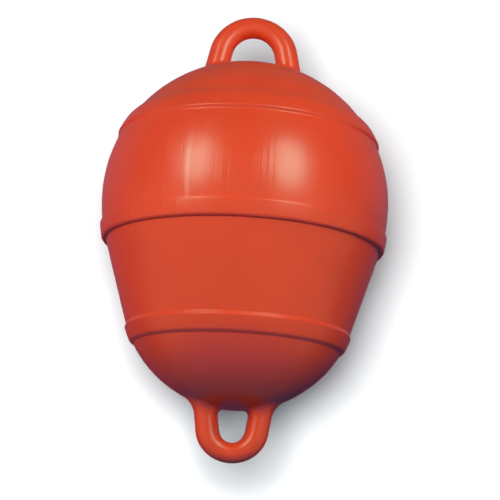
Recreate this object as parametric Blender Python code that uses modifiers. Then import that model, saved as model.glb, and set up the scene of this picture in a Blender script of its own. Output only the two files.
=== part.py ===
"""Mooring buoy: one hollow moulded float with three raised bands and a rope eye at each end.

The float is two spheres and the cone that touches both. The origin is the centre of the lower
eye's bow, the axis of the float is Z, and both eyes lie in the plane of X and Z.
"""
import math

import bmesh
import bpy
from mathutils import Vector

# Float, in metres
UPPER_RADIUS = 0.1500
LOWER_RADIUS = 0.1218
SPHERE_SPACING = 0.0953

# Upper band: a proud ring that starts as a long ramp on the cap and ends in a short ledge
UPPER_BAND_LEDGE_LATITUDE = 25.2
UPPER_BAND_SPAN = 8.0
UPPER_BAND_RAMP = 3.2
UPPER_BAND_HEIGHT = 0.0032
UPPER_BAND_RAMP_ROUNDING = 0.0120
UPPER_BAND_LEDGE = 0.8
UPPER_BAND_LEDGE_ROUNDING = 0.0020

# Main belt: a band over the end of the cone, as wide as the upper sphere at its top and tapering
BELT_WIDTH = 0.0168
BELT_TAPER = 10.5
BELT_BELOW_CONE_TOP = 0.0038
BELT_LOWER_ROUNDING = 0.0045

# Lower band: a proud ring on the lower sphere, just under the cone
LOWER_BAND_GAP = 0.8
LOWER_BAND_RAMP = 2.4
LOWER_BAND_SPAN = 9.0
LOWER_BAND_HEIGHT = 0.0025
LOWER_BAND_LEDGE = 1.8
LOWER_BAND_LEDGE_ROUNDING = 0.0060

# Small rounding of every other edge of the bands
EDGE_ROUNDING = 0.0012

# Upper eye
UPPER_EYE_RISE = 0.0108
UPPER_EYE_BOW_RADIUS = 0.0352
UPPER_EYE_LEAN = 12.0
UPPER_EYE_BOW_BAR = 0.0113
UPPER_EYE_LEG_BAR = 0.0120
UPPER_EYE_INNER_FILLET = 0.0060
UPPER_EYE_OUTER_FILLET = 0.0160

# Lower eye
LOWER_EYE_RISE = 0.0184
LOWER_EYE_BOW_RADIUS = 0.0255
LOWER_EYE_LEAN = 8.0
LOWER_EYE_BOW_BAR = 0.0100
LOWER_EYE_LEG_BAR = 0.0117
LOWER_EYE_INNER_FILLET = 0.0060
LOWER_EYE_OUTER_FILLET = 0.0240

# How finely round shapes are cut into facets
TURN_STEPS = 60
SPHERE_STEP = 6.0
ROUNDING_STEPS = 3
BAR_SIDES = 16
BOW_STEPS = 14
FOOT_STEPS = 4

# Depth to which the foot of an eye runs into the float, so that the two fuse
FOOT_DEPTH = 0.0060

# Places that follow from the sizes
LOWER_CENTRE = LOWER_EYE_RISE + LOWER_RADIUS
UPPER_CENTRE = LOWER_CENTRE + SPHERE_SPACING
UPPER_EYE_CENTRE = UPPER_CENTRE + UPPER_RADIUS + UPPER_EYE_RISE
CONE_TILT = math.degrees(math.asin((UPPER_RADIUS - LOWER_RADIUS) / SPHERE_SPACING))


def clear_scene():
    """Takes every object out of the file."""
    for old in list(bpy.data.objects):
        bpy.data.objects.remove(old, do_unlink=True)


def new_collection(name):
    """Makes a collection in the scene."""
    collection = bpy.data.collections.new(name)
    bpy.context.scene.collection.children.link(collection)
    return collection


def plastic(name, colour, roughness):
    """Makes a plain plastic material."""
    material = bpy.data.materials.new(name)
    material.use_nodes = True
    shader = material.node_tree.nodes["Principled BSDF"]
    shader.inputs["Base Color"].default_value = (*colour, 1.0)
    shader.inputs["Roughness"].default_value = roughness
    shader.inputs["Metallic"].default_value = 0.0
    return material


def sphere_point(centre, radius, latitude):
    """Point of a sphere's outline, as distance from the axis and height."""
    angle = math.radians(latitude)
    return Vector((radius * math.cos(angle), centre + radius * math.sin(angle)))


def sphere_arc(centre, radius, start, end):
    """Points of a sphere's outline from one latitude to another, both ends included."""
    steps = max(1, math.ceil(abs(end - start) / SPHERE_STEP))
    return [sphere_point(centre, radius, start + (end - start) * i / steps) for i in range(steps + 1)]


def plain_radius(height):
    """Radius of the float without its bands, at a height between the sphere centres' tangents."""
    top = sphere_point(UPPER_CENTRE, UPPER_RADIUS, -CONE_TILT)
    if height > top.y:
        return math.sqrt(UPPER_RADIUS ** 2 - (height - UPPER_CENTRE) ** 2)
    return top.x - (top.y - height) * math.tan(math.radians(CONE_TILT))


def float_corners():
    """Outline of the float from its top to its bottom, as (point, rounding radius)."""
    corners = []

    def smooth(points):
        corners.extend((point, 0.0) for point in points)

    def corner(point, rounding=EDGE_ROUNDING):
        corners.append((point, rounding))

    # cap, and the upper band with its ramp
    band_low = UPPER_BAND_LEDGE_LATITUDE
    band_high = band_low + UPPER_BAND_SPAN
    band_radius = UPPER_RADIUS + UPPER_BAND_HEIGHT
    cap = sphere_arc(UPPER_CENTRE, UPPER_RADIUS, 90.0, band_high + UPPER_BAND_RAMP)
    smooth(cap[:-1])
    corner(cap[-1], UPPER_BAND_RAMP_ROUNDING)
    band = sphere_arc(UPPER_CENTRE, band_radius, band_high, band_low + UPPER_BAND_LEDGE / 2)
    corner(band[0], UPPER_BAND_RAMP_ROUNDING)
    smooth(band[1:-1])
    corner(band[-1], UPPER_BAND_LEDGE_ROUNDING)

    # dome, down to the main belt
    belt_low = sphere_point(UPPER_CENTRE, UPPER_RADIUS, -CONE_TILT).y - BELT_BELOW_CONE_TOP
    belt_high = belt_low + BELT_WIDTH
    belt_latitude = math.degrees(math.asin((belt_high - UPPER_CENTRE) / UPPER_RADIUS))
    belt_low_radius = UPPER_RADIUS - BELT_WIDTH * math.tan(math.radians(BELT_TAPER))
    dome = sphere_arc(UPPER_CENTRE, UPPER_RADIUS, band_low - UPPER_BAND_LEDGE / 2, belt_latitude)
    corner(dome[0])
    smooth(dome[1:-1])
    corner(dome[-1])
    corner(Vector((UPPER_RADIUS, belt_high)))
    corner(Vector((belt_low_radius, belt_low)), BELT_LOWER_ROUNDING)
    corner(Vector((plain_radius(belt_low), belt_low)))

    # cone, then the lower band with its ramp
    cone_end = -CONE_TILT
    band_high = cone_end - LOWER_BAND_GAP - LOWER_BAND_RAMP
    band_low = band_high - LOWER_BAND_SPAN
    smooth([sphere_point(LOWER_CENTRE, LOWER_RADIUS, cone_end)])
    corner(sphere_point(LOWER_CENTRE, LOWER_RADIUS, cone_end - LOWER_BAND_GAP))
    band_radius = LOWER_RADIUS + LOWER_BAND_HEIGHT
    band = sphere_arc(LOWER_CENTRE, band_radius, band_high, band_low + LOWER_BAND_LEDGE)
    corner(band[0])
    smooth(band[1:-1])
    corner(band[-1], LOWER_BAND_LEDGE_ROUNDING)

    # bowl
    bowl = sphere_arc(LOWER_CENTRE, LOWER_RADIUS, band_low, -90.0)
    corner(bowl[0])
    smooth(bowl[1:])
    return corners


def rounded(corners):
    """Replaces each corner that has a rounding radius with a short arc.

    Where two roundings don't fit on the edge between them, both shrink in the same measure.
    """
    setbacks = [0.0] * len(corners)
    for i, (point, radius) in enumerate(corners):
        if radius > 0.0:
            turn = (corners[i + 1][0] - point).angle(point - corners[i - 1][0])
            setbacks[i] = radius * math.tan(turn / 2)
    fits = [1.0] * len(corners)
    for i in range(len(corners) - 1):
        length = (corners[i + 1][0] - corners[i][0]).length
        wanted = setbacks[i] + setbacks[i + 1]
        if wanted > 0.96 * length:
            fits[i] = min(fits[i], 0.96 * length / wanted)
            fits[i + 1] = min(fits[i + 1], 0.96 * length / wanted)

    points = []
    for i, (point, radius) in enumerate(corners):
        if radius <= 0.0:
            points.append(point)
            continue
        setback = setbacks[i] * fits[i]
        start = point + (corners[i - 1][0] - point).normalized() * setback
        end = point + (corners[i + 1][0] - point).normalized() * setback
        for step in range(ROUNDING_STEPS + 1):
            share = step / ROUNDING_STEPS
            first = start.lerp(point, share)
            second = point.lerp(end, share)
            points.append(first.lerp(second, share))
    return points


def turned(name, points, material, collection):
    """Makes a turned solid from an outline that runs from its top to its bottom."""
    mesh = bpy.data.meshes.new(name)
    vertices = [(point.x, 0.0, point.y) for point in points]
    edges = [(i, i + 1) for i in range(len(points) - 1)]
    mesh.from_pydata(vertices, edges, [])
    mesh.materials.append(material)
    solid = bpy.data.objects.new(name, mesh)
    collection.objects.link(solid)
    screw = solid.modifiers.new("turn", "SCREW")
    screw.axis = "Z"
    screw.steps = TURN_STEPS
    screw.render_steps = TURN_STEPS
    screw.use_merge_vertices = True
    screw.merge_threshold = 0.00001
    screw.use_smooth_shade = True
    return solid


def foot_section(foot, axis, across, bar, fillet, centre, radius):
    """Fillet between the bar of a leg and the sphere, in the half plane of the leg's axis and across.

    Returns its points from the bar down to the sphere. The sphere is cut by the half plane in a
    circle, and the fillet is the arc that touches that circle and the side of the bar.
    """
    offset = centre - foot
    cut_across = offset.dot(across)
    cut_along = offset.dot(axis)
    aside = offset - across * cut_across - axis * cut_along
    cut_radius = math.sqrt(radius ** 2 - aside.length_squared)
    fillet_across = bar + fillet
    fillet_along = cut_along + math.sqrt((cut_radius + fillet) ** 2 - (fillet_across - cut_across) ** 2)
    start = math.pi
    end = 2 * math.pi + math.atan2(cut_along - fillet_along, cut_across - fillet_across)
    points = []
    for step in range(FOOT_STEPS + 1):
        angle = start + (end - start) * step / FOOT_STEPS
        along = fillet_along + fillet * math.sin(angle)
        out = fillet_across + fillet * math.cos(angle)
        points.append(foot + across * out + axis * along)
    return points


def foot_rings(foot, axis, outward, bar, inner, outer, centre, radius):
    """Rings of a leg's foot, from the bar down into the float."""
    side = axis.cross(outward)
    columns = []
    for i in range(BAR_SIDES):
        angle = 2 * math.pi * i / BAR_SIDES
        across = outward * math.cos(angle) + side * math.sin(angle)
        fillet = inner + (outer - inner) * (1 + math.cos(angle)) / 2
        section = foot_section(foot, axis, across, bar, fillet, centre, radius)
        section.append(section[-1] + (centre - section[-1]).normalized() * FOOT_DEPTH)
        columns.append(section)
    return [list(ring) for ring in zip(*columns)]


def bow_ring(middle, axis, outward, bar):
    """One round ring of the bar."""
    side = axis.cross(outward)
    ring = []
    for i in range(BAR_SIDES):
        angle = 2 * math.pi * i / BAR_SIDES
        ring.append(middle + (outward * math.cos(angle) + side * math.sin(angle)) * bar)
    return ring


def loft(name, rings, collection):
    """Closes a row of rings into one solid, as a guide that is fused to the float."""
    build = bmesh.new()
    rows = [[build.verts.new(point) for point in ring] for ring in rings]
    count = len(rows[0])
    for lower, upper in zip(rows, rows[1:]):
        for i in range(count):
            j = (i + 1) % count
            build.faces.new((lower[i], lower[j], upper[j], upper[i]))
    build.faces.new(rows[0])
    build.faces.new(rows[-1])
    bmesh.ops.recalc_face_normals(build, faces=build.faces[:])
    mesh = bpy.data.meshes.new(name)
    build.to_mesh(mesh)
    build.free()
    mesh.shade_smooth()
    solid = bpy.data.objects.new(name, mesh)
    collection.objects.link(solid)
    solid.hide_render = True
    solid.display_type = "WIRE"
    return solid


def eye(name, middle, out, bow_radius, lean, bow_bar, leg_bar, fillets, centre, radius, collection):
    """Rope eye: a half round bow on two legs that spread towards the float and flare into it.

    The eye stands out along `out`, which is 1 for up and -1 for down.
    """
    inner, outer = fillets
    lean = math.radians(lean)
    float_centre = Vector((0.0, 0.0, centre))

    def place(across, along):
        return Vector((across, 0.0, middle + out * along))

    # the right leg, from its foot on the sphere up to the end of the bow
    leg_top = place(bow_radius * math.cos(lean), bow_radius * math.sin(lean))
    down = Vector((math.sin(lean), 0.0, -out * math.cos(lean)))
    to_centre = leg_top - float_centre
    half = to_centre.dot(down)
    reach = -half - math.sqrt(half ** 2 - to_centre.length_squared + radius ** 2)
    foot = leg_top + down * reach
    outward = Vector((math.cos(lean), 0.0, out * math.sin(lean)))
    right_foot = foot_rings(foot, -down, outward, leg_bar, inner, outer, float_centre, radius)

    # the bow, from the right leg over to the left one
    bow = []
    for step in range(BOW_STEPS + 1):
        angle = lean + (math.pi - 2 * lean) * step / BOW_STEPS
        away = Vector((math.cos(angle), 0.0, out * math.sin(angle)))
        along = Vector((-math.sin(angle), 0.0, out * math.cos(angle)))
        bar = bow_bar + (leg_bar - bow_bar) * math.cos(math.pi * step / BOW_STEPS) ** 2
        bow.append(bow_ring(place(0.0, 0.0) + away * bow_radius, along, away, bar))

    # the left foot is the right one mirrored, which turns its rings the other way round
    def mirror(ring):
        return [Vector((-point.x, -point.y, point.z)) for point in ring]

    left_foot = [mirror(ring) for ring in right_foot]
    left_foot = [[ring[-i % BAR_SIDES] for i in range(BAR_SIDES)] for ring in left_foot]
    return loft(name, right_foot[::-1] + bow + left_foot, collection)


def fuse(solid, other):
    """Unites another solid with this one."""
    union = solid.modifiers.new("fuse " + other.name, "BOOLEAN")
    union.operation = "UNION"
    union.solver = "EXACT"
    union.object = other


def main():
    clear_scene()
    parts = new_collection("mooring_buoy")
    guides = new_collection("guides")
    orange = plastic("orange_plastic", (0.66, 0.065, 0.022), 0.36)

    body = turned("buoy_body", rounded(float_corners()), orange, parts)
    upper_eye = eye(
        "upper_eye", UPPER_EYE_CENTRE, 1, UPPER_EYE_BOW_RADIUS, UPPER_EYE_LEAN,
        UPPER_EYE_BOW_BAR, UPPER_EYE_LEG_BAR, (UPPER_EYE_INNER_FILLET, UPPER_EYE_OUTER_FILLET),
        UPPER_CENTRE, UPPER_RADIUS, guides)
    lower_eye = eye(
        "lower_eye", 0.0, -1, LOWER_EYE_BOW_RADIUS, LOWER_EYE_LEAN,
        LOWER_EYE_BOW_BAR, LOWER_EYE_LEG_BAR, (LOWER_EYE_INNER_FILLET, LOWER_EYE_OUTER_FILLET),
        LOWER_CENTRE, LOWER_RADIUS, guides)
    fuse(body, upper_eye)
    fuse(body, lower_eye)


main()
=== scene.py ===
# %% [markdown]
# # A moulded mooring buoy
# This lesson dresses a mooring buoy: a float of orange-red plastic, 300 mm across, with three raised
# bands and a rope eye at each end. The real one is a single hollow moulding, so here
# it becomes a single closed mesh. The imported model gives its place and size, and we give it its looks.

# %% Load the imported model
import math

import bmesh
import bpy
from mathutils import Matrix, Vector
from mathutils.geometry import delaunay_2d_cdt


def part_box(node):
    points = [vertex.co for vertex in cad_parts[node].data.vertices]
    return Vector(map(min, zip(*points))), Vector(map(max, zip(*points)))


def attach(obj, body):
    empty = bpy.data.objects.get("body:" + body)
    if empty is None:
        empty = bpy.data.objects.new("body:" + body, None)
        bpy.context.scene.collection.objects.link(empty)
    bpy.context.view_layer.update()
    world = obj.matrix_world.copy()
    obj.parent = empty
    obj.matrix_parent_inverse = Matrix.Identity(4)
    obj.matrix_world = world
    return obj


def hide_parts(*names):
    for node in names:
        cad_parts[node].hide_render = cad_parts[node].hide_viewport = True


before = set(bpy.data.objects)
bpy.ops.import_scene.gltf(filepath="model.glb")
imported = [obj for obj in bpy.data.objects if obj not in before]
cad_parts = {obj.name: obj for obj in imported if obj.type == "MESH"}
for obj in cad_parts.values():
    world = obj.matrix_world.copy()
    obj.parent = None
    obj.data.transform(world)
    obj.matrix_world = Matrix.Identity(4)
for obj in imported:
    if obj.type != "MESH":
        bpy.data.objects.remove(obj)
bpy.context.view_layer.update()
node_low, node_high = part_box("buoy_body")

# %% [markdown]
# ## The camera
# The photograph looks slightly up at the buoy, from about 1.65 m away, with a long lens. The picture
# is also turned by a few degrees, so the buoy leans to the right in it. Blender's camera looks along
# its own minus Z, so we build its three axes by hand and roll them.

# %% Place the camera
CAMERA_PLACE = Vector((0.0, -1.650, -0.183))
CAMERA_TILT = math.radians(12.63)
CAMERA_AIM = math.radians(0.27)
CAMERA_ROLL = math.radians(3.30)
CAMERA_LENS = 116.55
CAMERA_SENSOR = 36.0


def camera_axes():
    """Right, up and forward of the camera."""
    forward = Vector((0.0, math.cos(CAMERA_TILT), math.sin(CAMERA_TILT)))
    up = Vector((0.0, -math.sin(CAMERA_TILT), math.cos(CAMERA_TILT)))
    right = Vector((1.0, 0.0, 0.0))
    forward, right = (
        forward * math.cos(CAMERA_AIM) + right * math.sin(CAMERA_AIM),
        right * math.cos(CAMERA_AIM) - forward * math.sin(CAMERA_AIM),
    )
    level_up, level_right = up, right
    up = level_up * math.cos(CAMERA_ROLL) - level_right * math.sin(CAMERA_ROLL)
    right = level_right * math.cos(CAMERA_ROLL) + level_up * math.sin(CAMERA_ROLL)
    return right, up, forward


right, up, forward = camera_axes()
lens = bpy.data.cameras.new("camera")
lens.lens = CAMERA_LENS
lens.sensor_width = CAMERA_SENSOR
camera = bpy.data.objects.new("camera", lens)
bpy.context.scene.collection.objects.link(camera)
camera_turn = Matrix((right, up, -forward)).transposed().to_4x4()
camera.matrix_world = Matrix.Translation(CAMERA_PLACE) @ camera_turn
bpy.context.scene.camera = camera
print("camera sees", round(math.degrees(lens.angle), 1), "degrees")

# %% [markdown]
# ## The sizes of the float
# A float like this is two spheres and the cone that touches them both. Its width comes from the packed
# model. A band is a proud stretch of the outline: it rises from the float over a ramp and falls back
# to it over a short ledge. The belt in the middle has a ledge at both edges. Latitudes, ramps, ledges,
# spans and tapers are in degrees, as on a globe, and everything else is in metres.

# %% Name the sizes
UPPER_RADIUS = (node_high.x - node_low.x) / 2
LOWER_RADIUS = 0.1218
SPHERE_SPACING = 0.0953
LOWER_EYE_RISE = 0.0184
UPPER_EYE_RISE = 0.0108

LOWER_CENTRE = LOWER_EYE_RISE + LOWER_RADIUS
UPPER_CENTRE = LOWER_CENTRE + SPHERE_SPACING
UPPER_EYE_CENTRE = UPPER_CENTRE + UPPER_RADIUS + UPPER_EYE_RISE
CONE_TILT = math.degrees(math.asin((UPPER_RADIUS - LOWER_RADIUS) / SPHERE_SPACING))

UPPER_BAND = {
    "low": 25.2, "high": 31.9, "ramp": 5.8, "ledge": 0.8,
    "proud": 0.0032, "ramp_rounding": 0.0300, "ledge_rounding": 0.0020, "foot_rounding": 0.0018,
}
BELT = {"width": 0.0168, "taper": 10.5, "below_cone_top": 0.0038, "lower_rounding": 0.0045}
LOWER_BAND = {
    "gap": 1.8, "ramp": 1.4, "span": 9.0, "ledge": 1.8,
    "proud": 0.0025, "ledge_rounding": 0.0060,
}
EDGE_ROUNDING = 0.0012
LONGEST_EDGE = 0.006

UPPER_CROWN_LATITUDE = 57.0
LOWER_CROWN_LATITUDE = -54.0
print("cone tilts by", round(CONE_TILT, 1), "degrees")

# %% [markdown]
# ## Drawing the outline
# Half of the float's outline is enough, since it is a turned shape. We list its corners from top to
# bottom, each with a rounding radius, and then swap every corner for a short smooth arc. This is
# what a designer does with a fillet tool, and it keeps the sizes readable.


# %% Points on the spheres
def sphere_point(centre, radius, latitude):
    """Point of a sphere's outline, as distance from the axis and height."""
    angle = math.radians(latitude)
    return Vector((radius * math.cos(angle), centre + radius * math.sin(angle)))


def sphere_arc(centre, radius, start, end, step=1.6):
    """Points of a sphere's outline from one latitude to another, both ends included."""
    steps = max(1, math.ceil(abs(end - start) / step))
    return [sphere_point(centre, radius, start + (end - start) * i / steps) for i in range(steps + 1)]


widest = sphere_point(UPPER_CENTRE, UPPER_RADIUS, 0)
print("widest point of the top:", round(widest.x, 4), "m out and", round(widest.y, 4), "m up")


# %% Corners of the outline
def plain_radius(height):
    """Radius of the cone at a height."""
    top = sphere_point(UPPER_CENTRE, UPPER_RADIUS, -CONE_TILT)
    return top.x - (top.y - height) * math.tan(math.radians(CONE_TILT))


def upper_corners():
    """Corners from the crown down to the main belt."""
    band = UPPER_BAND
    cap = sphere_arc(UPPER_CENTRE, UPPER_RADIUS, UPPER_CROWN_LATITUDE, band["high"] + band["ramp"])
    half_ledge = band["ledge"] / 2
    proud = sphere_arc(
        UPPER_CENTRE, UPPER_RADIUS + band["proud"], band["high"], band["low"] + half_ledge)
    belt_low = sphere_point(UPPER_CENTRE, UPPER_RADIUS, -CONE_TILT).y - BELT["below_cone_top"]
    belt_high = belt_low + BELT["width"]
    belt_latitude = math.degrees(math.asin((belt_high - UPPER_CENTRE) / UPPER_RADIUS))
    belt_low_radius = UPPER_RADIUS - BELT["width"] * math.tan(math.radians(BELT["taper"]))
    dome = sphere_arc(UPPER_CENTRE, UPPER_RADIUS, band["low"] - half_ledge, belt_latitude)
    corners = [(point, 0.0) for point in cap[:-1]]
    corners += [(cap[-1], band["ramp_rounding"]), (proud[0], band["ramp_rounding"])]
    corners += [(point, 0.0) for point in proud[1:-1]]
    corners += [(proud[-1], band["ledge_rounding"]), (dome[0], band["foot_rounding"])]
    corners += [(point, 0.0) for point in dome[1:-1]]
    corners += [(dome[-1], EDGE_ROUNDING), (Vector((UPPER_RADIUS, belt_high)), EDGE_ROUNDING)]
    corners += [(Vector((belt_low_radius, belt_low)), BELT["lower_rounding"])]
    corners += [(Vector((plain_radius(belt_low), belt_low)), EDGE_ROUNDING)]
    return corners


def lower_corners():
    """Corners from the end of the cone down to the lower crown."""
    band = LOWER_BAND
    band_high = -CONE_TILT - band["gap"] - band["ramp"]
    band_low = band_high - band["span"]
    proud = sphere_arc(
        LOWER_CENTRE, LOWER_RADIUS + band["proud"], band_high, band_low + band["ledge"])
    bowl = sphere_arc(LOWER_CENTRE, LOWER_RADIUS, band_low, LOWER_CROWN_LATITUDE)
    corners = [(sphere_point(LOWER_CENTRE, LOWER_RADIUS, -CONE_TILT), 0.0)]
    corners += [(sphere_point(LOWER_CENTRE, LOWER_RADIUS, -CONE_TILT - band["gap"]), EDGE_ROUNDING)]
    corners += [(proud[0], EDGE_ROUNDING)]
    corners += [(point, 0.0) for point in proud[1:-1]]
    corners += [(proud[-1], band["ledge_rounding"]), (bowl[0], EDGE_ROUNDING)]
    corners += [(point, 0.0) for point in bowl[1:]]
    return corners


corners = upper_corners() + lower_corners()
print(len(corners), "corners from crown to crown")


# %% Round the corners
MOST_OF_AN_EDGE = 0.96


def setbacks(corners):
    """How far each rounding reaches along its edges. Two that don't fit on one edge both shrink."""
    reach = [0.0] * len(corners)
    for i, (point, radius) in enumerate(corners):
        if radius > 0.0:
            turn = (corners[i + 1][0] - point).angle(point - corners[i - 1][0])
            reach[i] = radius * math.tan(turn / 2)
    fits = [1.0] * len(corners)
    for i in range(len(corners) - 1):
        room = MOST_OF_AN_EDGE * (corners[i + 1][0] - corners[i][0]).length
        wanted = reach[i] + reach[i + 1]
        if wanted > room:
            fits[i] = min(fits[i], room / wanted)
            fits[i + 1] = min(fits[i + 1], room / wanted)
    return [a * b for a, b in zip(reach, fits)]


def rounded(corners, steps=7):
    """Swaps each corner that has a rounding radius for a short arc."""
    points = []
    for i, ((point, radius), reach) in enumerate(zip(corners, setbacks(corners))):
        if radius <= 0.0:
            points.append(point)
            continue
        start = point + (corners[i - 1][0] - point).normalized() * reach
        end = point + (corners[i + 1][0] - point).normalized() * reach
        for step in range(steps + 1):
            share = step / steps
            points.append(start.lerp(point, share).lerp(point.lerp(end, share), share))
    return points


outline = rounded(corners)
print(len(outline), "points after rounding, from", round(outline[0].y, 3), "to", round(outline[-1].y, 3))

# %% [markdown]
# The cone's straight side is one long edge, and a long thin face can shade unevenly beside the short
# ones of a rounding. So we split every long edge into even lengths.


# %% Split long edges
def split_long(points, longest):
    """Adds points on edges that are longer than this."""
    result = [points[0]]
    for before, after in zip(points, points[1:]):
        count = max(1, math.ceil((after - before).length / longest))
        result += [before.lerp(after, i / count) for i in range(1, count + 1)]
    return result


outline = split_long(outline, LONGEST_EDGE)
print(len(outline), "points in the outline")

# %% [markdown]
# ## A small kit for Geometry Nodes
# Geometry Nodes suit a shape that follows a rule. A tree is a node group: its inputs get names, and a
# modifier sets them by identifier. These helpers make a tree, link its nodes, and turn its result
# into a plain mesh, which is what exporters and later steps want.


# %% Helpers for node trees
def new_tree(name, inputs):
    """Makes a Geometry Nodes tree with a geometry input and named inputs of (socket type, value)."""
    tree = bpy.data.node_groups.new(name, "GeometryNodeTree")
    tree.interface.new_socket("Geometry", in_out="INPUT", socket_type="NodeSocketGeometry")
    for label, (kind, value) in inputs.items():
        socket = tree.interface.new_socket(label, in_out="INPUT", socket_type=kind)
        if value is not None:
            socket.default_value = value
    tree.interface.new_socket("Geometry", in_out="OUTPUT", socket_type="NodeSocketGeometry")
    return tree, tree.nodes.new("NodeGroupInput"), tree.nodes.new("NodeGroupOutput")


def add_node(tree, kind, links=None, **settings):
    """Adds a node, sets its properties, and links or sets its inputs."""
    node = tree.nodes.new(kind)
    for key, value in settings.items():
        setattr(node, key, value)
    for socket, source in (links or {}).items():
        if isinstance(source, bpy.types.NodeSocket):
            tree.links.new(source, node.inputs[socket])
        else:
            node.inputs[socket].default_value = source
    return node


def maths(tree, operation, first, second=None, kind="ShaderNodeMath"):
    """Adds a Math or Vector Math node and gives its output."""
    links = {0: first} if second is None else {0: first, 1: second}
    return add_node(tree, kind, links, operation=operation).outputs[0]


def mix_colours(tree, share, first, second):
    """Adds a Mix node for two colours, each a socket or plain numbers, and gives its result."""
    node = add_node(tree, "ShaderNodeMix", {0: share}, data_type="RGBA")
    sockets = [s for s in node.inputs if s.type == "RGBA"]
    for socket, colour in zip(sockets, (first, second)):
        if isinstance(colour, bpy.types.NodeSocket):
            tree.links.new(colour, socket)
        else:
            socket.default_value = (*colour, 1.0)
    return next(s for s in node.outputs if s.type == "RGBA")


print("node helpers ready")


# %% Run a tree and keep its mesh
def run_tree(thing, tree, values):
    """Runs a tree on an object and returns the result as an object with a plain mesh."""
    modifier = thing.modifiers.new(tree.name, "NODES")
    modifier.node_group = tree
    for item in tree.interface.items_tree:
        if item.item_type == "SOCKET" and item.in_out == "INPUT" and item.name in values:
            modifier[item.identifier] = values[item.name]
    thing.update_tag()
    graph = bpy.context.evaluated_depsgraph_get()
    mesh = bpy.data.meshes.new_from_object(thing.evaluated_get(graph), depsgraph=graph)
    name = thing.name
    bpy.data.objects.remove(thing, do_unlink=True)
    result = bpy.data.objects.new(name, mesh)
    bpy.context.scene.collection.objects.link(result)
    return result


def mesh_object(name, vertices, edges=(), faces=()):
    """Makes an object from plain lists."""
    mesh = bpy.data.meshes.new(name)
    mesh.from_pydata([tuple(v) for v in vertices], list(edges), [tuple(f) for f in faces])
    thing = bpy.data.objects.new(name, mesh)
    bpy.context.scene.collection.objects.link(thing)
    return thing


print("tree runner ready")

# %% [markdown]
# ## The plastic, before its detail
# Geometry Nodes need the material at the end of their tree, so we make it now and fill in its nodes
# further down, once there is a shape to put them on.

# %% Make the material
plastic = bpy.data.materials.new("moulded_orange_plastic")
plastic.use_nodes = True
print("material", plastic.name)

# %% [markdown]
# ## Turning the float
# A lathe turns one outline round an axis. The tree does the same with a flat grid: each column of
# the grid is one angle, and each row is one point of the outline. Every grid point looks its outline
# point up by its row and is moved to that radius, angle and height. Spin or a Screw modifier would
# do as well, but here the number of facets stays a named input.

# %% Build the lathe tree
TURN_STEPS = 360
MERGE_DISTANCE = 0.00001

lathe, lathe_in, lathe_out = new_tree("turned_float", {
    "Facets": ("NodeSocketInt", TURN_STEPS),
    "Plastic": ("NodeSocketMaterial", None),
})
rows = add_node(lathe, "GeometryNodeAttributeDomainSize", {"Geometry": lathe_in.outputs["Geometry"]})
row_count = rows.outputs["Point Count"]
columns = maths(lathe, "ADD", lathe_in.outputs["Facets"], 1.0)
grid = add_node(lathe, "GeometryNodeMeshGrid", {"Vertices X": columns, "Vertices Y": row_count})
index = add_node(lathe, "GeometryNodeInputIndex").outputs[0]
row = maths(lathe, "MODULO", index, row_count)
column = maths(lathe, "FLOOR", maths(lathe, "DIVIDE", index, row_count))
turn = maths(lathe, "DIVIDE", maths(lathe, "MULTIPLY", column, math.tau), lathe_in.outputs["Facets"])
place = add_node(lathe, "GeometryNodeInputPosition").outputs[0]
lookup = add_node(
    lathe, "GeometryNodeSampleIndex",
    {"Geometry": lathe_in.outputs["Geometry"], "Index": row}, data_type="FLOAT_VECTOR", domain="POINT")
value_socket = next(s for s in lookup.inputs if s.name == "Value" and s.enabled)
lathe.links.new(place, value_socket)
looked_up = next(s for s in lookup.outputs if s.enabled)
print(len(lathe.nodes), "nodes so far")

# %% Finish the lathe tree
parts = add_node(lathe, "ShaderNodeSeparateXYZ", {0: looked_up})
across = maths(lathe, "MULTIPLY", parts.outputs["X"], maths(lathe, "COSINE", turn))
along = maths(lathe, "MULTIPLY", parts.outputs["X"], maths(lathe, "SINE", turn))
turned_place = add_node(
    lathe, "ShaderNodeCombineXYZ", {"X": across, "Y": along, "Z": parts.outputs["Z"]}).outputs[0]
moved = add_node(
    lathe, "GeometryNodeSetPosition", {"Geometry": grid.outputs["Mesh"], "Position": turned_place})
merged = add_node(
    lathe, "GeometryNodeMergeByDistance", {"Geometry": moved.outputs[0], "Distance": MERGE_DISTANCE})
real = add_node(lathe, "GeometryNodeRealizeInstances", {"Geometry": merged.outputs[0]})
dressed = add_node(
    lathe, "GeometryNodeSetMaterial",
    {"Geometry": real.outputs[0], "Material": lathe_in.outputs["Plastic"]})
lathe.links.new(dressed.outputs[0], lathe_out.inputs["Geometry"])

profile = mesh_object("turned_float", [(p.x, 0.0, p.y) for p in outline])
turned = run_tree(profile, lathe, {"Facets": TURN_STEPS, "Plastic": plastic})
print("turned float:", len(turned.data.polygons), "faces")

# %% [markdown]
# ## The eyes
# Each eye is a round bar: two legs that lean towards each other, joined by a half round bow. The foot
# of a leg flares into the float like a tree trunk into the ground. A Boolean union would leave a
# sharp seam there, so we work the flare out instead. In any half plane through a leg's axis, the
# sphere shows as a circle and the bar as a straight line, and the flare is the arc that touches both.

# %% Sizes of the eyes
BAR_SIDES = 56
BOW_STEPS = 56
FOOT_STEPS = 16

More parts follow.
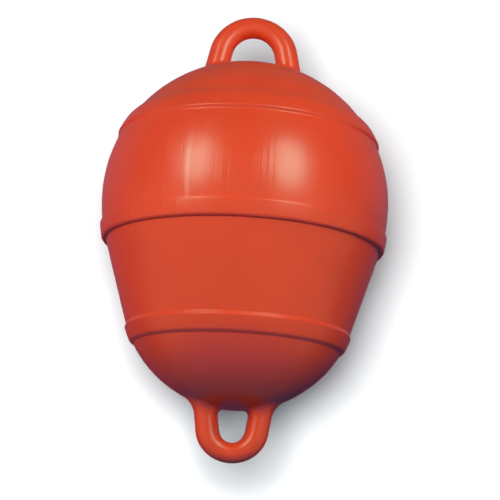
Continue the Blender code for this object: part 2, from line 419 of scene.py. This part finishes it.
UPPER_EYE = {
    "middle": UPPER_EYE_CENTRE, "out": 1, "bow_radius": 0.0352, "lean": 12.0,
    "bow_bar": 0.0113, "leg_bar": 0.0120, "inner_flare": 0.0060, "outer_flare": 0.0160,
    "centre": UPPER_CENTRE, "radius": UPPER_RADIUS,
}
LOWER_EYE = {
    "middle": 0.0, "out": -1, "bow_radius": 0.0255, "lean": 8.0,
    "bow_bar": 0.0100, "leg_bar": 0.0117, "inner_flare": 0.0060, "outer_flare": 0.0240,
    "centre": LOWER_CENTRE, "radius": LOWER_RADIUS,
}
print("upper eye's hole is", round(2000 * (UPPER_EYE["bow_radius"] - UPPER_EYE["leg_bar"])), "mm wide")


# %% The flare of a foot
def flare_section(foot, axis, across, bar, flare, centre, radius):
    """Points of the flare in one half plane, from the bar down to the sphere."""
    offset = centre - foot
    cut_across = offset.dot(across)
    cut_along = offset.dot(axis)
    aside = offset - across * cut_across - axis * cut_along
    cut_radius = math.sqrt(radius ** 2 - aside.length_squared)
    flare_across = bar + flare
    flare_along = cut_along + math.sqrt((cut_radius + flare) ** 2 - (flare_across - cut_across) ** 2)
    start = math.pi
    end = math.tau + math.atan2(cut_along - flare_along, cut_across - flare_across)
    points = []
    for step in range(FOOT_STEPS + 1):
        angle = start + (end - start) * step / FOOT_STEPS
        out = flare_across + flare * math.cos(angle)
        along = flare_along + flare * math.sin(angle)
        points.append(foot + across * out + axis * along)
    return points


def ring_directions(axis, outward):
    """Unit vectors all round a bar, with the share of each that points outward."""
    side = axis.cross(outward)
    for i in range(BAR_SIDES):
        angle = math.tau * i / BAR_SIDES
        yield outward * math.cos(angle) + side * math.sin(angle), (1 + math.cos(angle)) / 2


def foot_rings(eye, foot, axis, outward):
    """Rings of a foot, from the bar down to the sphere."""
    centre = Vector((0.0, 0.0, eye["centre"]))
    sections = []
    for across, share in ring_directions(axis, outward):
        flare = eye["inner_flare"] + (eye["outer_flare"] - eye["inner_flare"]) * share
        sections.append(flare_section(foot, axis, across, eye["leg_bar"], flare, centre, eye["radius"]))
    return [list(ring) for ring in zip(*sections)]


print("a foot takes", FOOT_STEPS + 1, "rings of", BAR_SIDES, "points")


# %% The rings of an eye
def eye_rings(eye):
    """Rings of points from the right foot over the bow to the left foot."""
    lean = math.radians(eye["lean"])
    out = eye["out"]
    bow_radius = eye["bow_radius"]
    middle = Vector((0.0, 0.0, eye["middle"]))
    centre = Vector((0.0, 0.0, eye["centre"]))

    leg_top = middle + Vector((bow_radius * math.cos(lean), 0.0, out * bow_radius * math.sin(lean)))
    down = Vector((math.sin(lean), 0.0, -out * math.cos(lean)))
    outward = Vector((math.cos(lean), 0.0, out * math.sin(lean)))
    to_centre = leg_top - centre
    half = to_centre.dot(down)
    reach = -half - math.sqrt(half ** 2 - to_centre.length_squared + eye["radius"] ** 2)
    right_foot = foot_rings(eye, leg_top + down * reach, -down, outward)

    bow = []
    for step in range(BOW_STEPS + 1):
        angle = lean + (math.pi - 2 * lean) * step / BOW_STEPS
        away = Vector((math.cos(angle), 0.0, out * math.sin(angle)))
        along = Vector((-math.sin(angle), 0.0, out * math.cos(angle)))
        thick = math.cos(math.pi * step / BOW_STEPS) ** 2
        bar = eye["bow_bar"] + (eye["leg_bar"] - eye["bow_bar"]) * thick
        bar_middle = middle + away * bow_radius
        bow.append([bar_middle + across * bar for across, _ in ring_directions(along, away)])

    left_foot = []
    for ring in right_foot:
        turned_ring = [Vector((-p.x, -p.y, p.z)) for p in ring]
        left_foot.append([turned_ring[-i % BAR_SIDES] for i in range(BAR_SIDES)])
    return right_foot[::-1] + bow + left_foot


upper_rings = eye_rings(UPPER_EYE)
lower_rings = eye_rings(LOWER_EYE)
print(len(upper_rings), "rings in each eye")

# %% [markdown]
# ## The crowns
# A crown is the piece of sphere round the feet of an eye, between the last turned row and the two
# flares. It is a disc with two holes. We set points evenly over it, seen from above, join them by a
# Delaunay triangulation that keeps the three borders, and lift every point onto the sphere.
# So each border point is shared, and the whole moulding closes without a seam.

# %% Points for a crown
CROWN_SPACING = 0.0026
ROW_SPACING = 0.866 * CROWN_SPACING
NEAREST_TO_A_BORDER = 0.62 * CROWN_SPACING
CROWN_TOLERANCE = 1e-7


def inside(point, loop):
    """True where a point lies in a closed loop, both seen from above."""
    hit = False
    for a, b in zip(loop, loop[1:] + loop[:1]):
        if (a.y > point.y) != (b.y > point.y):
            if point.x < a.x + (b.x - a.x) * (point.y - a.y) / (b.y - a.y):
                hit = not hit
    return hit


def crown_points(border, holes):
    """Even points inside the border and outside the holes, with room to all of them."""
    reach = border[0].to_2d().length
    walls = [p.to_2d() for hole in holes for p in hole]
    found = []
    rows = int(reach / ROW_SPACING) + 1
    for j in range(-rows, rows + 1):
        for i in range(-rows - 2, rows + 3):
            point = Vector(((i + 0.5 * (j % 2)) * CROWN_SPACING, j * ROW_SPACING))
            if point.length > reach - NEAREST_TO_A_BORDER:
                continue
            if any(inside(point, hole) for hole in holes):
                continue
            if min((point - wall).length for wall in walls) > NEAREST_TO_A_BORDER:
                found.append(point)
    return found


print("crown points are", round(1000 * CROWN_SPACING, 1), "mm apart")


# %% Mesh of a crown
def crown(eye, latitude, rings):
    """Vertices and triangles of a crown, as plain lists."""
    edge = sphere_point(eye["centre"], eye["radius"], latitude)
    turns = [math.tau * i / TURN_STEPS for i in range(TURN_STEPS)]
    border = [Vector((edge.x * math.cos(a), edge.x * math.sin(a), edge.y)) for a in turns]
    holes = [rings[0], rings[-1]]
    fill = crown_points(border, holes)
    fixed = [p for loop in (border, *holes) for p in loop]
    edges = []
    first = 0
    for loop in (border, *holes):
        edges += [(first + i, first + (i + 1) % len(loop)) for i in range(len(loop))]
        first += len(loop)
    flat = [p.to_2d() for p in fixed] + fill
    spots, _, triangles, origins, _, _ = delaunay_2d_cdt(flat, edges, [], 0, CROWN_TOLERANCE, True)
    vertices = []
    for spot, sources in zip(spots, origins):
        if sources and sources[0] < len(fixed):
            vertices.append(fixed[sources[0]])
        else:
            height = eye["out"] * math.sqrt(eye["radius"] ** 2 - spot.length_squared)
            vertices.append(Vector((spot.x, spot.y, eye["centre"] + height)))
    kept = []
    for triangle in triangles:
        middle = sum((spots[i] for i in triangle), Vector((0.0, 0.0))) / 3
        if not any(inside(middle, hole) for hole in holes):
            kept.append(tuple(triangle))
    return vertices, kept


upper_crown = crown(UPPER_EYE, UPPER_CROWN_LATITUDE, upper_rings)
lower_crown = crown(LOWER_EYE, LOWER_CROWN_LATITUDE, lower_rings)
print("crowns have", len(upper_crown[1]), "and", len(lower_crown[1]), "triangles")


# %% [markdown]
# ## One closed moulding
# Now the turned float, the crowns and the eyes become one mesh. Their borders hold the same points,
# so merging doubles closes it. Faces made by hand may point either way, so the normals are
# recalculated once everything is joined.


# %% Join everything
def loft_faces(rings):
    """Vertices and faces of a tube through rings of points."""
    count = len(rings[0])
    vertices = [p for ring in rings for p in ring]
    faces = []
    for k in range(len(rings) - 1):
        for i in range(count):
            j = (i + 1) % count
            faces.append((k * count + i, k * count + j, (k + 1) * count + j, (k + 1) * count + i))
    return vertices, faces


def add_to(build, vertices, faces):
    """Adds vertices and faces to a bmesh."""
    made = [build.verts.new(v) for v in vertices]
    for face in faces:
        build.faces.new([made[i] for i in face])


build = bmesh.new()
build.from_mesh(turned.data)
for vertices, faces in (upper_crown, lower_crown, loft_faces(upper_rings), loft_faces(lower_rings)):
    add_to(build, vertices, faces)
bmesh.ops.remove_doubles(build, verts=build.verts[:], dist=MERGE_DISTANCE)
bmesh.ops.recalc_face_normals(build, faces=build.faces[:])
open_edges = sum(1 for edge in build.edges if len(edge.link_faces) != 2)
volume = build.calc_volume(signed=True)
print(len(build.faces), "faces,", open_edges, "open edges, volume", round(1000 * volume, 2), "litres")

# %% Make it the buoy
bpy.data.objects.remove(turned, do_unlink=True)
mesh = bpy.data.meshes.new("moulded_float")
build.to_mesh(mesh)
build.free()
mesh.materials.clear()
mesh.materials.append(plastic)
for face in mesh.polygons:
    face.material_index = 0
mesh.shade_smooth()
buoy = bpy.data.objects.new("moulded_float", mesh)
bpy.context.scene.collection.objects.link(buoy)
print("moulded float:", len(mesh.polygons), "faces")

# %% [markdown]
# ## The parting line
# A mould for such a float opens in two halves, and they meet in the plane of the eyes, the only plane
# in which both eyes can leave them. Plastic creeps a little into that joint and leaves a fine raised
# line. We cut a copy of the mesh with that plane, keep only the cut, and let Geometry Nodes run a
# thin bead along it.

# %% Find the line
PARTING_BEAD = 0.00045
BEAD_SIDES = 8
CUT_TOLERANCE = 0.000001

cutter = bmesh.new()
cutter.from_mesh(mesh)
cut = bmesh.ops.bisect_plane(
    cutter, geom=cutter.verts[:] + cutter.edges[:] + cutter.faces[:],
    dist=CUT_TOLERANCE, plane_co=(0, 0, 0), plane_no=(0, 1, 0))
line_edges = [item for item in cut["geom_cut"] if isinstance(item, bmesh.types.BMEdge)]
cutter.verts.index_update()
cutter.verts.ensure_lookup_table()
line_points = sorted({v.index for edge in line_edges for v in edge.verts})
order = {index: i for i, index in enumerate(line_points)}
path_vertices = [cutter.verts[index].co.copy() for index in line_points]
path_edges = [(order[e.verts[0].index], order[e.verts[1].index]) for e in line_edges]
cutter.free()
print("parting line runs through", len(path_vertices), "points")

# %% Run a bead along it
bead, bead_in, bead_out = new_tree("parting_line", {
    "Bead radius": ("NodeSocketFloat", PARTING_BEAD),
    "Plastic": ("NodeSocketMaterial", None),
})
path = add_node(bead, "GeometryNodeMeshToCurve", {"Mesh": bead_in.outputs["Geometry"]})
section = add_node(bead, "GeometryNodeCurvePrimitiveCircle", {
    "Resolution": BEAD_SIDES, "Radius": bead_in.outputs["Bead radius"]})
swept = add_node(
    bead, "GeometryNodeCurveToMesh", {"Curve": path.outputs[0], "Profile Curve": section.outputs[0]})
smooth = add_node(bead, "GeometryNodeSetShadeSmooth", {"Geometry": swept.outputs[0]})
real = add_node(bead, "GeometryNodeRealizeInstances", {"Geometry": smooth.outputs[0]})
dressed = add_node(
    bead, "GeometryNodeSetMaterial",
    {"Geometry": real.outputs[0], "Material": bead_in.outputs["Plastic"]})
bead.links.new(dressed.outputs[0], bead_out.inputs["Geometry"])

line = mesh_object("parting_line", path_vertices, path_edges)
parting_line = run_tree(line, bead, {"Bead radius": PARTING_BEAD, "Plastic": plastic})
print("parting line:", len(parting_line.data.polygons), "faces")

# %% [markdown]
# ## The plastic
# The real surface is polyethylene: a strong orange-red with a soft gloss. Look closely and it isn't
# even. The mould was polished up and down, which leaves faint upright streaks that break up the
# highlights, and the skin has a fine grain. All of this comes from noise on the object's own
# coordinates, so it stays on the buoy from every side.

# %% Coordinates round the axis
PLASTIC_COLOUR = (0.63, 0.045, 0.010)
PLASTIC_IOR = 1.5
PLASTIC_SPECULAR = 1.0

nodes = plastic.node_tree
nodes.nodes.clear()
shader = add_node(nodes, "ShaderNodeBsdfPrincipled")
output = add_node(nodes, "ShaderNodeOutputMaterial", {"Surface": shader.outputs[0]})
shader.inputs["Base Color"].default_value = (*PLASTIC_COLOUR, 1.0)
shader.inputs["Metallic"].default_value = 0.0
shader.inputs["IOR"].default_value = PLASTIC_IOR
shader.inputs["Specular IOR Level"].default_value = PLASTIC_SPECULAR

here = add_node(nodes, "ShaderNodeTexCoord").outputs["Object"]
spot = add_node(nodes, "ShaderNodeSeparateXYZ", {0: here})
flat_spot = add_node(
    nodes, "ShaderNodeCombineXYZ", {"X": spot.outputs["X"], "Y": spot.outputs["Y"]}).outputs[0]
axis_distance = add_node(
    nodes, "ShaderNodeVectorMath", {0: flat_spot}, operation="LENGTH").outputs["Value"]
bearing = add_node(nodes, "ShaderNodeVectorMath", {0: flat_spot}, operation="NORMALIZE").outputs[0]
bearing_parts = add_node(nodes, "ShaderNodeSeparateXYZ", {0: bearing})
print("material reads", here.name, "coordinates")


# %% Helpers for textures
def noise(vector, scale, detail=2.0, roughness=0.5):
    """Adds a noise texture and gives its value."""
    return add_node(
        nodes, "ShaderNodeTexNoise",
        {"Vector": vector, "Scale": scale, "Detail": detail, "Roughness": roughness}).outputs["Fac"]


def remap(value, low, high, new_low, new_high):
    """Maps a range of values smoothly to another, and stops at its ends."""
    return add_node(
        nodes, "ShaderNodeMapRange",
        {"Value": value, "From Min": low, "From Max": high, "To Min": new_low, "To Max": new_high},
        interpolation_type="SMOOTHSTEP").outputs[0]


print("texture helpers ready")

# %% [markdown]
# A streak is noise that hardly changes with height. The streaks read the bearing, which is the
# direction from the axis, and only a quarter of the height. They come and go in patches, and fade out
# towards the axis, where all bearings meet.

# %% Streaks, grain and mottling
STREAK_SCALE = 24.0
STREAK_DETAIL = 4.0
STREAK_ROUGHNESS = 0.62
STREAK_SHARE_OF_HEIGHT = 0.25
PATCH_SCALE = 14.0
PATCH_EDGES = (0.42, 0.66)
FAINTEST_PATCH = 0.15
CALM_RADIUS = 0.045
STREAKY_RADIUS = 0.090
GRAIN_SCALE = 900.0
UNEVEN_SCALE = 16.0
MOTTLE_SCALE = 9.0

height_share = maths(nodes, "MULTIPLY", spot.outputs["Z"], STREAK_SHARE_OF_HEIGHT)
streak_spot = add_node(nodes, "ShaderNodeCombineXYZ", {
    "X": bearing_parts.outputs["X"], "Y": bearing_parts.outputs["Y"], "Z": height_share}).outputs[0]
streaks = noise(streak_spot, STREAK_SCALE, STREAK_DETAIL, STREAK_ROUGHNESS)
patches = remap(noise(here, PATCH_SCALE), *PATCH_EDGES, FAINTEST_PATCH, 1.0)
patchy_streaks = maths(nodes, "MULTIPLY", streaks, patches)
off_axis = remap(axis_distance, CALM_RADIUS, STREAKY_RADIUS, 0.0, 1.0)
streak_height = maths(nodes, "MULTIPLY", patchy_streaks, off_axis)
grain = noise(here, GRAIN_SCALE, detail=3.0)
unevenness = noise(here, UNEVEN_SCALE, detail=1.0)
mottling = noise(here, MOTTLE_SCALE, detail=3.0)
print(len(nodes.nodes), "nodes in the material")

# %% [markdown]
# One pale upright strip under the left highlight is painted highlight, a bright streak painted into
# the colour. It is a plain strip: a range of bearings times a range of heights, at the front only.

# %% The painted highlight strip
# This strip is painted highlight: a pale streak of the left highlight, put into the base colour.
HIGHLIGHT_STRIP_BEARING = math.radians(-22.6)
HIGHLIGHT_STRIP_HALF_WIDTH = 0.026
HIGHLIGHT_STRIP_FOOT = (0.200, 0.212)
HIGHLIGHT_STRIP_TOP = (0.235, 0.285)
HIGHLIGHT_STRIP_FRONT = (-0.6, -0.4)

strip_across = maths(
    nodes, "ADD",
    maths(nodes, "MULTIPLY", bearing_parts.outputs["X"], math.cos(HIGHLIGHT_STRIP_BEARING)),
    maths(nodes, "MULTIPLY", bearing_parts.outputs["Y"], math.sin(HIGHLIGHT_STRIP_BEARING)))
strip_line = remap(maths(nodes, "ABSOLUTE", strip_across), 0.0, HIGHLIGHT_STRIP_HALF_WIDTH, 1.0, 0.0)
strip_front = remap(bearing_parts.outputs["Y"], *HIGHLIGHT_STRIP_FRONT, 1.0, 0.0)
strip_foot = remap(spot.outputs["Z"], *HIGHLIGHT_STRIP_FOOT, 0.0, 1.0)
strip_top = remap(spot.outputs["Z"], *HIGHLIGHT_STRIP_TOP, 1.0, 0.0)
painted_highlight = maths(
    nodes, "MULTIPLY", maths(nodes, "MULTIPLY", strip_line, strip_front),
    maths(nodes, "MULTIPLY", strip_foot, strip_top))
print("scuff runs from", HIGHLIGHT_STRIP_FOOT[0], "to", HIGHLIGHT_STRIP_TOP[1], "m up")

# %% Shape the surface
STREAK_DEPTH = 0.0009
GRAIN_DEPTH = 0.000012
UNEVEN_DEPTH = 0.00030


def bump(height, depth, normal=None):
    """Adds a bump of a real depth in metres, over another one."""
    links = {"Height": height, "Strength": 1.0, "Distance": depth}
    if normal is not None:
        links["Normal"] = normal
    return add_node(nodes, "ShaderNodeBump", links).outputs[0]


surface = bump(unevenness, UNEVEN_DEPTH)
surface = bump(streak_height, STREAK_DEPTH, surface)
surface = bump(grain, GRAIN_DEPTH, surface)
nodes.links.new(surface, shader.inputs["Normal"])
print("streaks and grain are", 1000 * STREAK_DEPTH, "and", 1000 * GRAIN_DEPTH, "mm deep")

# %% Colour and gloss
# The pale colour of the painted highlight strip.
PAINTED_HIGHLIGHT_COLOUR = (0.68, 0.125, 0.070)
DARKEST_MOTTLE = 0.965
LIGHTEST_MOTTLE = 1.03
MOTTLE_EDGES = (0.35, 0.65)
SMOOTHEST = 0.31
ROUGHEST = 0.37
GLOSS_EDGES = (0.4, 1.4)

dark_plastic = [DARKEST_MOTTLE * c for c in PLASTIC_COLOUR]
light_plastic = [LIGHTEST_MOTTLE * c for c in PLASTIC_COLOUR]
mottled = mix_colours(nodes, remap(mottling, *MOTTLE_EDGES, 0.0, 1.0), dark_plastic, light_plastic)
# Mixes the painted highlight strip into the colour.
with_painted_highlight = mix_colours(nodes, painted_highlight, mottled, PAINTED_HIGHLIGHT_COLOUR)
nodes.links.new(with_painted_highlight, shader.inputs["Base Color"])
gloss = remap(maths(nodes, "ADD", patchy_streaks, grain), *GLOSS_EDGES, SMOOTHEST, ROUGHEST)
nodes.links.new(gloss, shader.inputs["Roughness"])
print("colour", PLASTIC_COLOUR)

# %% [markdown]
# ## The stage
# The photograph has a plain white ground close behind the buoy, with one soft shadow to the lower
# right. Our ground is a wall just behind the float. It is drawn from its front only, so it never
# hides the buoy from behind, and the plastic doesn't mirror it. A pale floor lies below. Both turn
# plain white away from the buoy. Close to it they glow only a little, so the shadow isn't black.

# %% Sizes and tones of the stage
WALL_GAP = 0.012
WALL_TONE = (0.50, 0.50, 0.50)
WALL_GLOW = (0.07, 0.11, 0.13)
WALL_FADE = (0.32, 1.0)
FLOOR_HEIGHT = -0.330
FLOOR_TONE = (0.80, 0.80, 0.80)
FLOOR_GLOW = (0.50, 0.50, 0.50)
FLOOR_FADE = (0.8, 2.2)
WHITE = (1.0, 1.0, 1.0)
REACH = 6.0
MIDDLE_HEIGHT = 0.19

wall_place = node_high.y + WALL_GAP
stage_middle = (0.0, wall_place, MIDDLE_HEIGHT)
print("wall stands", round(1000 * WALL_GAP), "mm behind the float")


# %% Material of the stage
def stage_material(name, tone, glow, fade):
    """A matt ground, clear from behind. To the camera it glows, and fades to white away from the buoy."""
    material = bpy.data.materials.new(name)
    material.use_nodes = True
    tree = material.node_tree
    tree.nodes.clear()
    rays = add_node(tree, "ShaderNodeLightPath")
    seen = maths(tree, "MAXIMUM", rays.outputs["Is Camera Ray"], rays.outputs["Is Glossy Ray"])
    seen = maths(tree, "MAXIMUM", seen, rays.outputs["Is Transmission Ray"])
    place = add_node(tree, "ShaderNodeTexCoord").outputs["Object"]
    away = add_node(
        tree, "ShaderNodeVectorMath", {0: place, 1: stage_middle}, operation="DISTANCE").outputs["Value"]
    far = add_node(
        tree, "ShaderNodeMapRange", {"Value": away, "From Min": fade[0], "From Max": fade[1]},
        interpolation_type="SMOOTHSTEP").outputs[0]
    matt = add_node(tree, "ShaderNodeBsdfDiffuse", {"Color": (*tone, 1.0)})
    lit = add_node(
        tree, "ShaderNodeEmission", {"Color": mix_colours(tree, far, glow, WHITE), "Strength": seen})
    front = add_node(tree, "ShaderNodeAddShader", {0: matt.outputs[0], 1: lit.outputs[0]})
    clear = add_node(tree, "ShaderNodeBsdfTransparent")
    geometry = add_node(tree, "ShaderNodeNewGeometry")
    sides = add_node(
        tree, "ShaderNodeMixShader",
        {0: geometry.outputs["Backfacing"], 1: front.outputs[0], 2: clear.outputs[0]})
    add_node(tree, "ShaderNodeOutputMaterial", {"Surface": sides.outputs[0]})
    return material


white_wall = stage_material("white_wall", WALL_TONE, WALL_GLOW, WALL_FADE)
pale_floor = stage_material("pale_floor", FLOOR_TONE, FLOOR_GLOW, FLOOR_FADE)
print("stage materials", white_wall.name, "and", pale_floor.name)


# %% Wall and floor
def stage_plane(name, corners, material):
    """A flat piece of the stage that only the camera sees."""
    plane = mesh_object(name, corners, faces=[(0, 1, 2, 3)])
    plane.data.materials.append(material)
    plane.visible_diffuse = False
    plane.visible_glossy = False
    plane.visible_shadow = False
    return plane


wall = stage_plane("wall", [
    (-REACH, wall_place, FLOOR_HEIGHT), (REACH, wall_place, FLOOR_HEIGHT),
    (REACH, wall_place, REACH), (-REACH, wall_place, REACH),
], white_wall)
floor = stage_plane("floor", [
    (-REACH, -REACH, FLOOR_HEIGHT), (REACH, -REACH, FLOOR_HEIGHT),
    (REACH, REACH, FLOOR_HEIGHT), (-REACH, REACH, FLOOR_HEIGHT),
], pale_floor)
print("stage pieces:", wall.name, "and", floor.name)

# %% [markdown]
# ## Light
# Two softboxes make the two soft highlights on the dome. A light's highlight sits where the surface
# mirrors it to the camera, so we can work backwards: pick the spot on the dome, mirror the line of
# sight there, and put the softbox along it. White boxes would push the red of the highlights past
# what a picture can hold, so theirs is a greenish white. Five fill lamps light the front and the sides
# without a highlight, and a sixth does so for the back. All of these light the buoy alone.


# %% Lamps
def lamp(name, place, size, watts, colour=WHITE, glossy=True):
    """An oval area lamp that faces the middle of the float, and that the camera doesn't see."""
    data = bpy.data.lights.new(name, "AREA")
    data.shape = "ELLIPSE"
    data.size, data.size_y = size
    data.energy = watts
    data.color = colour
    data.cycles.use_multiple_importance_sampling = glossy
    thing = bpy.data.objects.new(name, data)
    thing.location = place
    thing.rotation_euler = (float_middle - place).to_track_quat("-Z", "Y").to_euler()
    thing.visible_camera = False
    thing.visible_glossy = glossy
    bpy.context.scene.collection.objects.link(thing)
    return thing


def direction_to(bearing_degrees, lift_degrees):
    """Unit vector: bearing 0 is towards the camera and 90 to its right, and lift is upward."""
    side = math.radians(bearing_degrees)
    lift = math.radians(lift_degrees)
    return Vector((math.sin(side) * math.cos(lift), -math.cos(side) * math.cos(lift), math.sin(lift)))


def mirrored_place(bearing_degrees, latitude):
    """Where a softbox stands whose highlight lies at this spot of the upper sphere."""
    normal = direction_to(bearing_degrees, latitude)
    spot = Vector((0.0, 0.0, UPPER_CENTRE)) + normal * UPPER_RADIUS
    sight = (spot - CAMERA_PLACE).normalized()
    return spot + (sight - normal * 2 * sight.dot(normal)) * SOFTBOX_DISTANCE


def fill(name, bearing_degrees, lift_degrees, watts):
    """A round lamp that gives no highlight."""
    place = float_middle + direction_to(bearing_degrees, lift_degrees) * FILL_DISTANCE
    return lamp(name, place, FILL_SIZE, watts, glossy=False)


SOFT_WHITE = (0.55, 1.00, 0.76)
SOFTBOX_DISTANCE = 1.3
FILL_DISTANCE = 1.6
FILL_SIZE = (0.8, 0.8)
float_middle = Vector((0.0, 0.0, 0.5 * (UPPER_CENTRE + LOWER_CENTRE)))
buoy_lamps = [
    lamp("left_softbox", mirrored_place(-19.2, 2.3), (0.48, 0.86), 5.2, SOFT_WHITE),
    lamp("right_softbox", mirrored_place(16.1, 2.6), (0.55, 0.92), 6.4, SOFT_WHITE),
    fill("front_fill", 0.0, 6.0, 14.8),
    fill("left_fill", -80.0, 5.0, 15.5),
    fill("left_rear_fill", -105.0, 0.0, 3.1),
    fill("right_front_fill", 35.0, 0.0, 5.0),
    fill("right_fill", 70.0, 36.0, 8.8),
    fill("back_fill", 168.0, 35.0, 24.0),
]
print(len(buoy_lamps), "lamps for the buoy")

# %% [markdown]
# Two more lamps light the stage. One makes the shadow on the wall. It hangs a little above and to the
# left of the camera, and its size sets how soft the shadow is. A wide soft sun lights the floor from
# above. Light linking keeps both off the buoy, which still stands in their way.

# %% Lamps for the stage
SHADOW_LAMP_OFFSET = Vector((-0.123, 0.0, 0.213))
SHADOW_LAMP_SIZE = (0.68, 0.68)
SHADOW_LAMP_WATTS = 71.0
FLOOR_SUN_STRENGTH = 1.9
FLOOR_SUN_WIDTH = math.radians(40.0)


def light_only(lamps, pieces, name):
    """Makes lamps light nothing but these pieces. Everything still casts its shadow."""
    receivers = bpy.data.collections.new(name)
    for piece in pieces:
        receivers.objects.link(piece)
    for thing in lamps:
        thing.light_linking.receiver_collection = receivers


shadow_lamp = lamp(
    "shadow_lamp", CAMERA_PLACE + SHADOW_LAMP_OFFSET, SHADOW_LAMP_SIZE, SHADOW_LAMP_WATTS, glossy=False)
floor_sun = bpy.data.lights.new("floor_light", "SUN")
floor_sun.energy = FLOOR_SUN_STRENGTH
floor_sun.angle = FLOOR_SUN_WIDTH
floor_light = bpy.data.objects.new("floor_light", floor_sun)
bpy.context.scene.collection.objects.link(floor_light)

light_only(buoy_lamps, [buoy, parting_line], "lit_buoy")
light_only([shadow_lamp], [wall], "lit_wall")
light_only([floor_light], [floor], "lit_floor")
print("shadow lamp at", tuple(round(v, 2) for v in shadow_lamp.location))

# %% [markdown]
# ## The world
# The camera sees the world pure white. The plastic mirrors a dim studio in it, made of a few tones by
# height. In front of the buoy, where the camera stands, it is blue below, then warm grey up to the
# horizon, and dark above. Behind the buoy it is mostly dark, which keeps the edges of the buoy dark.

# %% Tones of the studio
FLOOR_BLUE = (0.08, 0.24, 0.60)
DIM_BLUE = (0.10, 0.17, 0.32)
NIGHT_BLUE = (0.02, 0.05, 0.14)
WARM_GREY = (0.44, 0.39, 0.38)
DARK_GREY = (0.13, 0.13, 0.13)
STUDIO_FRONT = {-0.82: FLOOR_BLUE, -0.62: WARM_GREY, 0.02: WARM_GREY, 0.18: NIGHT_BLUE, 0.80: NIGHT_BLUE}
STUDIO_BACK = {-0.75: DIM_BLUE, -0.40: NIGHT_BLUE, 0.02: NIGHT_BLUE, 0.20: DIM_BLUE, 0.80: DARK_GREY}
BACK_BEGINS = (0.1, 0.3)

world = bpy.data.worlds.new("studio")
world.use_nodes = True
bpy.context.scene.world = world
sky = world.node_tree
sky.nodes.clear()
rays = add_node(sky, "ShaderNodeLightPath")
direction = add_node(sky, "ShaderNodeTexCoord").outputs["Generated"]
direction_parts = add_node(sky, "ShaderNodeSeparateXYZ", {0: direction})
height = add_node(sky, "ShaderNodeMapRange", {
    "Value": direction_parts.outputs["Z"], "From Min": -1.0, "From Max": 1.0}).outputs[0]
print(len(STUDIO_FRONT), "tones in front and", len(STUDIO_BACK), "behind")


# %% World
def studio_side(tones):
    """One side of the studio. Tones go by the sine of their height, -1 straight down and 1 straight up."""
    ramp = add_node(sky, "ShaderNodeValToRGB", {"Fac": height})
    stops = ramp.color_ramp.elements
    for sine, tone in tones.items():
        stops.new((sine + 1) / 2).color = (*tone, 1.0)
    stops.remove(stops[0])
    stops.remove(stops[-1])
    return add_node(sky, "ShaderNodeBackground", {
        "Color": ramp.outputs["Color"], "Strength": rays.outputs["Is Glossy Ray"]}).outputs[0]


backness = add_node(sky, "ShaderNodeMapRange", {
    "Value": direction_parts.outputs["Y"], "From Min": BACK_BEGINS[0], "From Max": BACK_BEGINS[1]})
studio = add_node(sky, "ShaderNodeMixShader", {
    0: backness.outputs[0], 1: studio_side(STUDIO_FRONT), 2: studio_side(STUDIO_BACK)})
seen = maths(sky, "MAXIMUM", rays.outputs["Is Camera Ray"], rays.outputs["Is Transmission Ray"])
white = add_node(sky, "ShaderNodeBackground", {"Color": (*WHITE, 1.0), "Strength": 1.0})
both = add_node(sky, "ShaderNodeMixShader", {0: seen, 1: studio.outputs[0], 2: white.outputs[0]})
add_node(sky, "ShaderNodeOutputWorld", {"Surface": both.outputs[0]})
bpy.context.scene.view_settings.view_transform = "Standard"
print("world made")

# %% [markdown]
# ## Hand over
# The float stands for the imported solid and moves with its body.

# %% Tie the pieces to the model
for piece in (buoy, parting_line):
    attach(piece, "root")
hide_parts("buoy_body")
